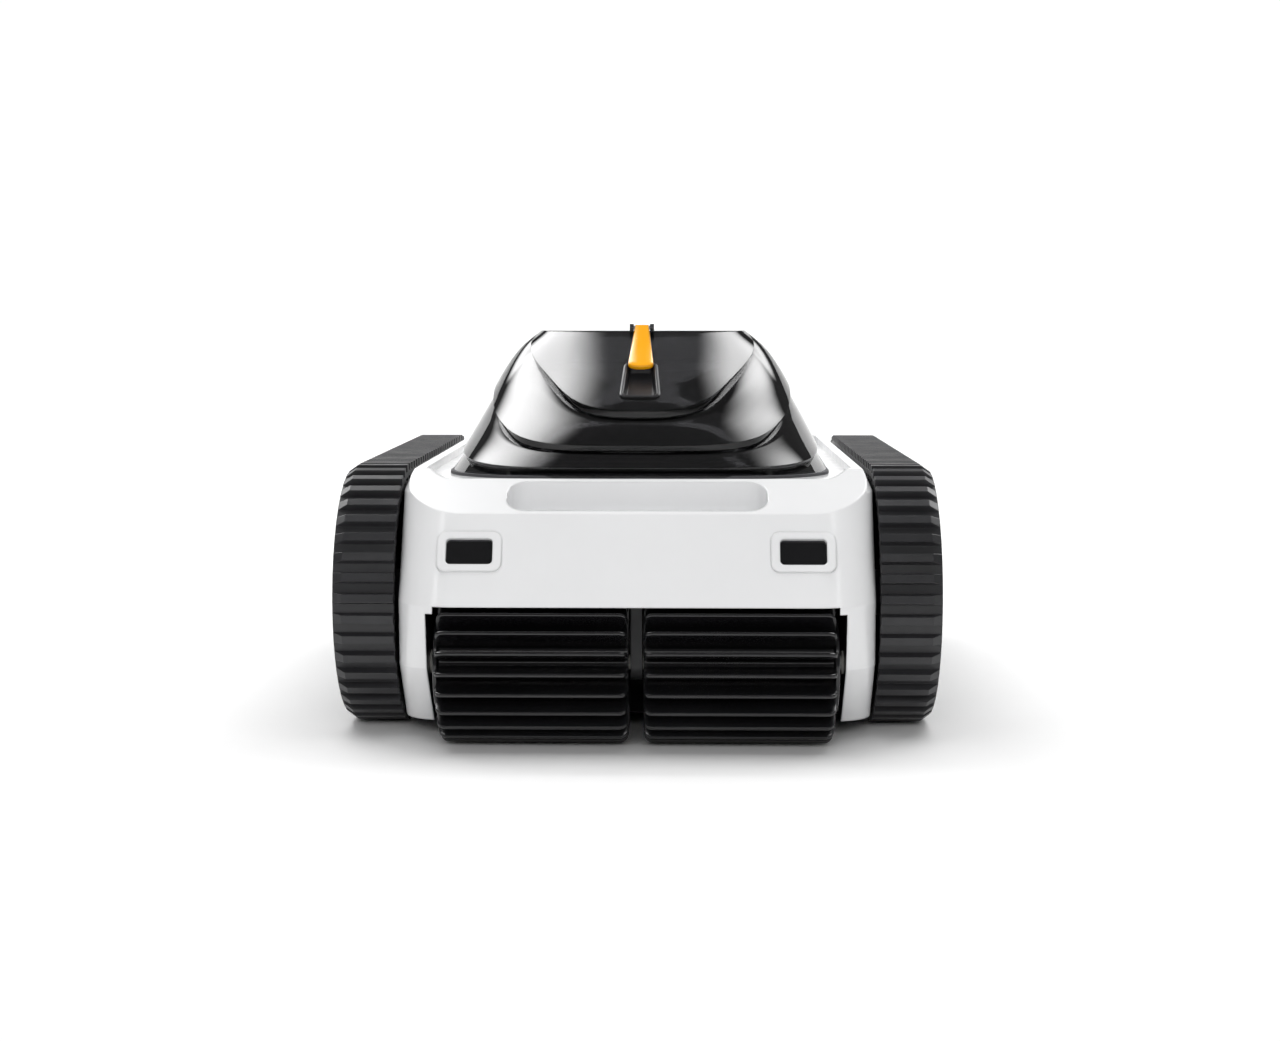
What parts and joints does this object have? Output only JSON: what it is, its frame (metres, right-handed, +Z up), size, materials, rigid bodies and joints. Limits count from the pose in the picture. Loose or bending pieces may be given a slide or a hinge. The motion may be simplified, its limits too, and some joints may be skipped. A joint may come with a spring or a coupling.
{
  "type": "pool cleaner",
  "caption": "Cordless robotic pool cleaner on two tracks, with front brush rollers, a white casing and a hinged smoked lid over its filter basket.",
  "frame": {"origin": "on the floor, under the middle of the overall length and width", "axes": "+X to the right seen from the front, +Y to the rear, +Z up"},
  "size_m": [0.41, 0.5649, 0.2817],
  "materials": {
    "white_shell": "gloss white moulded plastic",
    "smoked_lid": "smoked clear plastic",
    "orange": "gloss orange plastic",
    "track_rubber": "satin black rubber",
    "brush_pvc": "gloss black flexible plastic",
    "black_plastic": "satin black plastic",
    "window_black": "gloss black",
    "mesh": "fine black mesh",
    "gear_plastic": "natural acetal",
    "steel": "stainless",
    "seal_rubber": "grey silicone",
    "bush_plastic": "nylon",
    "battery_wrap": "shrink wrap",
    "circuit_board": "green laminate",
    "switch_body": "grey plastic",
    "light_lens": "frosted lens"
  },
  "bodies": {
    "chassis": {"upper_shell": "white_shell", "sensor_bezel_left": "white_shell", "sensor_bezel_right": "white_shell", "track_left": "track_rubber", "track_right": "track_rubber", "chassis_base": "black_plastic", "brush_housing": "black_plastic", "centre_bracket": "black_plastic", "side_pod_left": "black_plastic", "side_pod_right": "black_plastic", "side_cover_left": "black_plastic", "side_cover_right": "black_plastic", "basket_frame": "black_plastic", "basket_handle": "black_plastic", "motor_box": "black_plastic", "motor_box_cover": "black_plastic", "pump_duct": "black_plastic", "outlet_grille": "black_plastic", "inlet_duct": "black_plastic", "charging_port": "black_plastic", "sensor_window_left": "window_black", "sensor_window_right": "window_black", "basket_mesh": "mesh", "lid_hinge_pins": "steel", "flap_pin": "steel", "charging_cap_pin": "steel", "cover_screws": "steel", "pump_motor": "steel", "drive_motor_left": "steel", "drive_motor_right": "steel", "lid_gasket": "seal_rubber", "motor_box_seal": "seal_rubber", "axle_bushes": "bush_plastic", "battery_pack": "battery_wrap", "control_board": "circuit_board", "power_switch": "switch_body", "status_light": "light_lens"},
    "lid": {"lid": "smoked_lid", "lift_tab_pin": "steel"},
    "lift_tab": {"lift_tab": "orange"},
    "impeller": {"impeller": "gear_plastic"},
    "inlet_flap": {"inlet_flap": "black_plastic"},
    "power_button": {"power_button": "black_plastic"},
    "charging_cap": {"charging_cap": "black_plastic"},
    "drive_left": {"drive_wheel_left": "black_plastic", "drive_axle_gear_left": "gear_plastic"},
    "idler_left": {"idler_wheel_left": "black_plastic", "idler_axle_gear_left": "gear_plastic"},
    "transfer_left": {"transfer_gear_left": "gear_plastic"},
    "pinion_left": {"motor_pinion_left": "gear_plastic"},
    "roller_left": {"brush_left": "brush_pvc", "brush_shaft_left": "gear_plastic"},
    "drive_right": {"drive_wheel_right": "black_plastic", "drive_axle_gear_right": "gear_plastic"},
    "idler_right": {"idler_wheel_right": "black_plastic", "idler_axle_gear_right": "gear_plastic"},
    "transfer_right": {"transfer_gear_right": "gear_plastic"},
    "pinion_right": {"motor_pinion_right": "gear_plastic"},
    "roller_right": {"brush_right": "brush_pvc", "brush_shaft_right": "gear_plastic"}
  },
  "joints": [
    {"name": "lid_hinge", "type": "hinge", "parent": "chassis", "child": "lid", "pos_m": [0, 0.137, 0.182], "axis": [-1, 0, 0], "range_deg": [0, 80]},
    {"name": "lift_tab_pivot", "type": "hinge", "parent": "lid", "child": "lift_tab", "pos_m": [0, -0.04732, 0.27824], "axis": [-1, 0, 0], "range_deg": [0, 20], "stiffness_Nm_per_rad": 0.02, "springref_deg": -11.46},
    {"name": "impeller_spin", "type": "hinge", "parent": "chassis", "child": "impeller", "pos_m": [0, 0.186, 0.153], "axis": [0, 0, 1], "continuous": true},
    {"name": "inlet_flap_hinge", "type": "hinge", "parent": "chassis", "child": "inlet_flap", "pos_m": [0, -0.0385, 0.088], "axis": [-1, 0, 0], "range_deg": [0, 70]},
    {"name": "power_button_press", "type": "slide", "parent": "chassis", "child": "power_button", "axis": [0, 0, -1], "range_m": [0, 0.0015], "stiffness_N_per_m": 400, "springref_m": -0.001},
    {"name": "charging_cap_hinge", "type": "hinge", "parent": "chassis", "child": "charging_cap", "pos_m": [0.086, 0.2095, 0.1793], "axis": [-1, 0, 0], "range_deg": [0, 110]},
    {"name": "drive_left_spin", "type": "hinge", "parent": "chassis", "child": "drive_left", "pos_m": [0, 0.1911, 0.0914], "axis": [1, 0, 0], "continuous": true, "deforming": ["track_left"]},
    {"name": "idler_left_spin", "type": "hinge", "parent": "chassis", "child": "idler_left", "pos_m": [0, -0.14788, 0.0914], "axis": [1, 0, 0], "continuous": true},
    {"name": "transfer_left_spin", "type": "hinge", "parent": "chassis", "child": "transfer_left", "pos_m": [0, -0.19677, 0.06889], "axis": [1, 0, 0], "continuous": true},
    {"name": "roller_left_spin", "type": "hinge", "parent": "chassis", "child": "roller_left", "pos_m": [0, -0.228, 0.0545], "axis": [1, 0, 0], "continuous": true},
    {"name": "pinion_left_spin", "type": "hinge", "parent": "chassis", "child": "pinion_left", "pos_m": [0, 0.14774, 0.0914], "axis": [1, 0, 0], "continuous": true},
    {"name": "drive_right_spin", "type": "hinge", "parent": "chassis", "child": "drive_right", "pos_m": [0, 0.1911, 0.0914], "axis": [1, 0, 0], "continuous": true, "deforming": ["track_right"]},
    {"name": "idler_right_spin", "type": "hinge", "parent": "chassis", "child": "idler_right", "pos_m": [0, -0.14788, 0.0914], "axis": [1, 0, 0], "continuous": true},
    {"name": "transfer_right_spin", "type": "hinge", "parent": "chassis", "child": "transfer_right", "pos_m": [0, -0.19677, 0.06889], "axis": [1, 0, 0], "continuous": true},
    {"name": "roller_right_spin", "type": "hinge", "parent": "chassis", "child": "roller_right", "pos_m": [0, -0.228, 0.0545], "axis": [1, 0, 0], "continuous": true},
    {"name": "pinion_right_spin", "type": "hinge", "parent": "chassis", "child": "pinion_right", "pos_m": [0, 0.14774, 0.0914], "axis": [1, 0, 0], "continuous": true}
  ],
  "couplings": [
    {"joint": "idler_left_spin", "follows": "drive_left_spin", "ratio": 1},
    {"joint": "transfer_left_spin", "follows": "drive_left_spin", "ratio": -1.5714},
    {"joint": "roller_left_spin", "follows": "drive_left_spin", "ratio": 2.4444},
    {"joint": "pinion_left_spin", "follows": "drive_left_spin", "ratio": -3.1429},
    {"joint": "idler_right_spin", "follows": "drive_right_spin", "ratio": 1},
    {"joint": "transfer_right_spin", "follows": "drive_right_spin", "ratio": -1.5714},
    {"joint": "roller_right_spin", "follows": "drive_right_spin", "ratio": 2.4444},
    {"joint": "pinion_right_spin", "follows": "drive_right_spin", "ratio": -3.1429}
  ]
}
